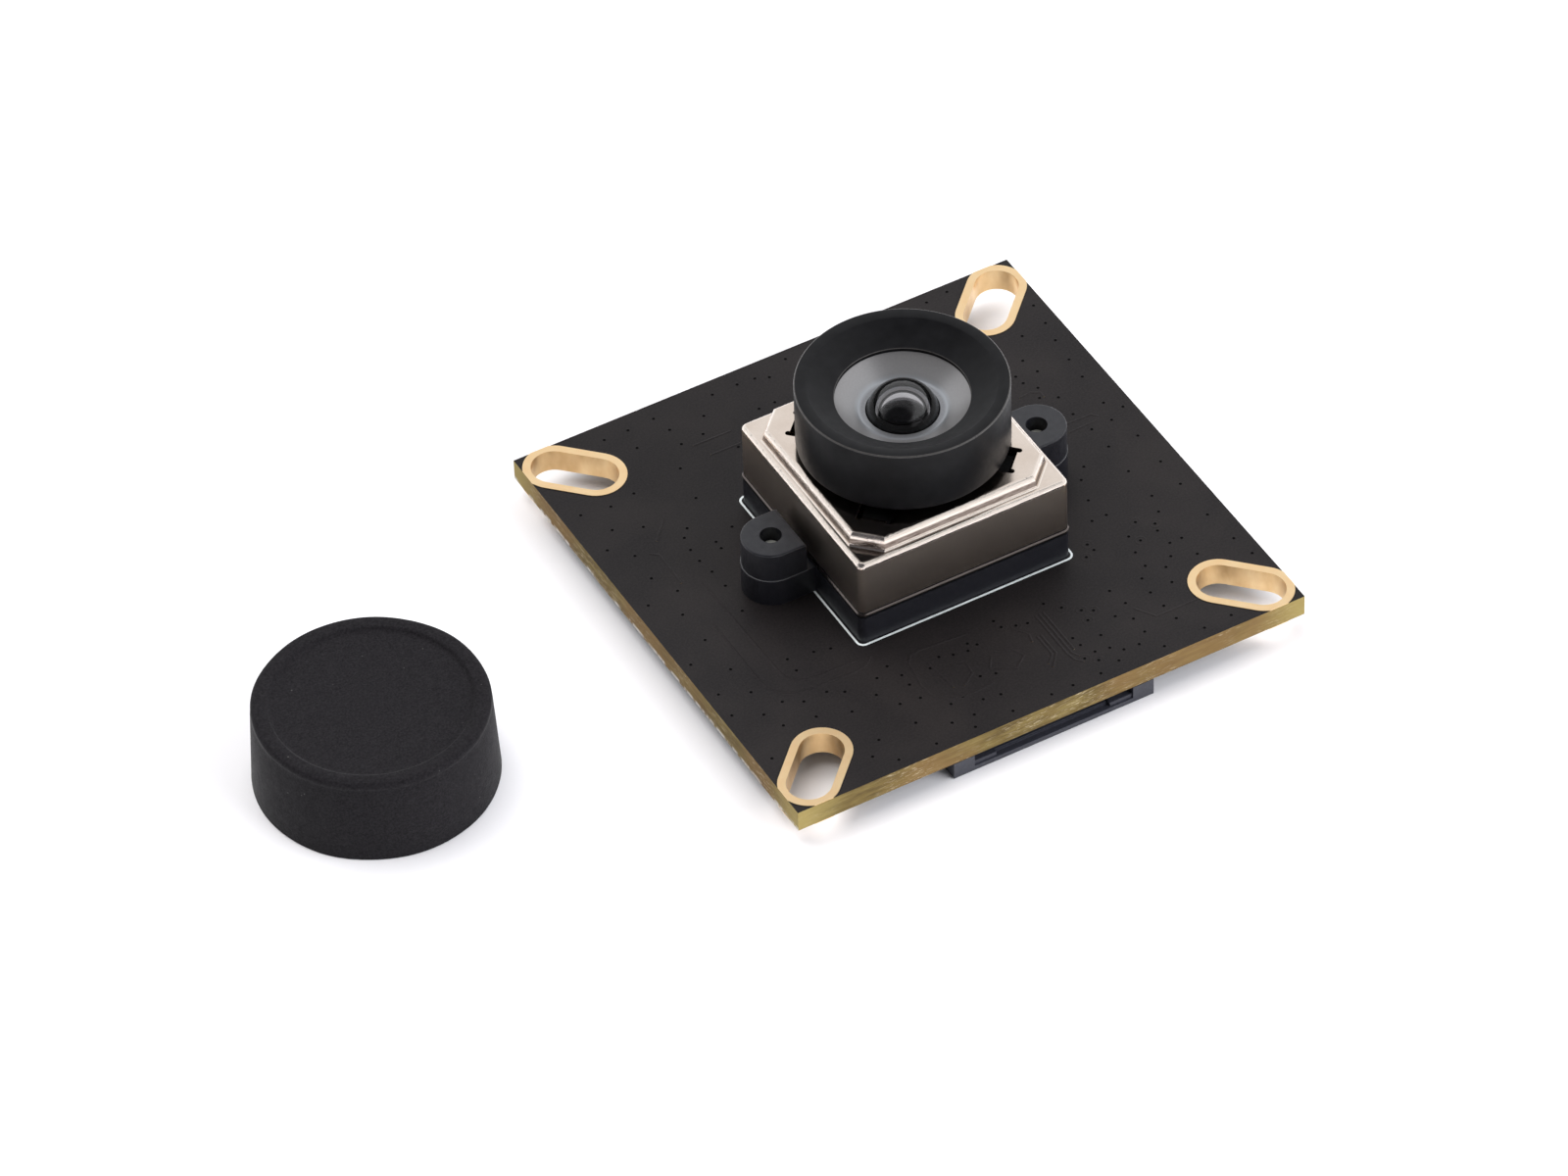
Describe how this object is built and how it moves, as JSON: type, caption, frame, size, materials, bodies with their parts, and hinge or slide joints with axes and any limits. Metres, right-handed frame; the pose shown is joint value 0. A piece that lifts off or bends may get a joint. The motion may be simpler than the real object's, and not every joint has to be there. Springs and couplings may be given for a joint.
{
  "type": "autofocus camera module",
  "caption": "Square camera board with corner slots, a metal-canned autofocus lens in a screwed holder, a flat-cable connector underneath and a rubber lens cap beside it.",
  "frame": {"origin": "centre of the board's top face, midway between the four corner slots", "axes": "+Z along the optical axis, out of the lens; -Y to the board edge that carries the cable connector; +X along that edge"},
  "size_m": [0.0661, 0.038, 0.0161],
  "materials": {
    "black_mask": "matt black solder mask over glass-epoxy board",
    "gold": "immersion gold over copper",
    "black_nylon": "fine moulded black, bluish in the light",
    "steel": "zinc-plated steel",
    "nickel_silver": "drawn sheet, bright with fine ripples",
    "carrier_plastic": "moulded black liquid-crystal polymer",
    "lens_black": "satin black",
    "lens_glass": "coated, frosted in the dish round the dome",
    "connector_plastic": "dark blue-grey",
    "rubber": "matt black, a little dusty",
    "filter_glass": "greenish infrared-cut glass",
    "sensor_ceramic": "dark ceramic",
    "silicon": "polished silicon with a colour mosaic",
    "magnet_nickel": "nickel-plated magnet",
    "copper": "enamelled copper wire",
    "spring_copper": "etched copper alloy",
    "stop_film": "black film",
    "tin": "matt tin",
    "chip_black": "black moulding compound",
    "capacitor_tan": "tan ceramic",
    "resistor_black": "glazed black",
    "oscillator_lid": "plated metal lid"
  },
  "bodies": {
    "module": {"circuit_board": "black_mask", "slot_plating": "gold", "lens_holder": "black_nylon", "holder_screws": "steel", "focus_can": "nickel_silver", "cable_housing": "connector_plastic", "lens_cap": "rubber", "ir_filter": "filter_glass", "sensor_package": "sensor_ceramic", "sensor_die": "silicon", "sensor_glass": "lens_glass", "focus_base": "carrier_plastic", "focus_magnets": "magnet_nickel", "upper_spring": "spring_copper", "lower_spring": "spring_copper", "spring_spacer": "carrier_plastic", "focus_terminals": "spring_copper", "cable_contacts": "tin", "cable_tabs": "tin", "regulators": "chip_black", "regulator_leads": "tin", "oscillator": "oscillator_lid", "capacitors": "capacitor_tan", "capacitor_ends": "tin", "resistors": "resistor_black", "resistor_ends": "tin"},
    "focus_group": {"lens_barrel": "lens_black", "front_element": "lens_glass", "front_spacer": "lens_black", "aperture_stop": "stop_film", "second_element": "lens_glass", "middle_spacer": "lens_black", "third_element": "lens_glass", "rear_spacer": "lens_black", "rear_element": "lens_glass", "lens_retainer": "lens_black", "lens_carrier": "carrier_plastic", "focus_coil": "copper"},
    "cable_lock": {"cable_slider": "connector_plastic"}
  },
  "joints": [
    {"name": "focus_travel", "type": "slide", "parent": "module", "child": "focus_group", "axis": [0, 0, 1], "range_m": [0, 0.0003], "stiffness_N_per_m": 80, "springref_m": -0.0002, "deforming": ["upper_spring", "lower_spring"]},
    {"name": "cable_lock_slide", "type": "slide", "parent": "module", "child": "cable_lock", "axis": [0, -1, 0], "range_m": [0, 0.001]}
  ]
}
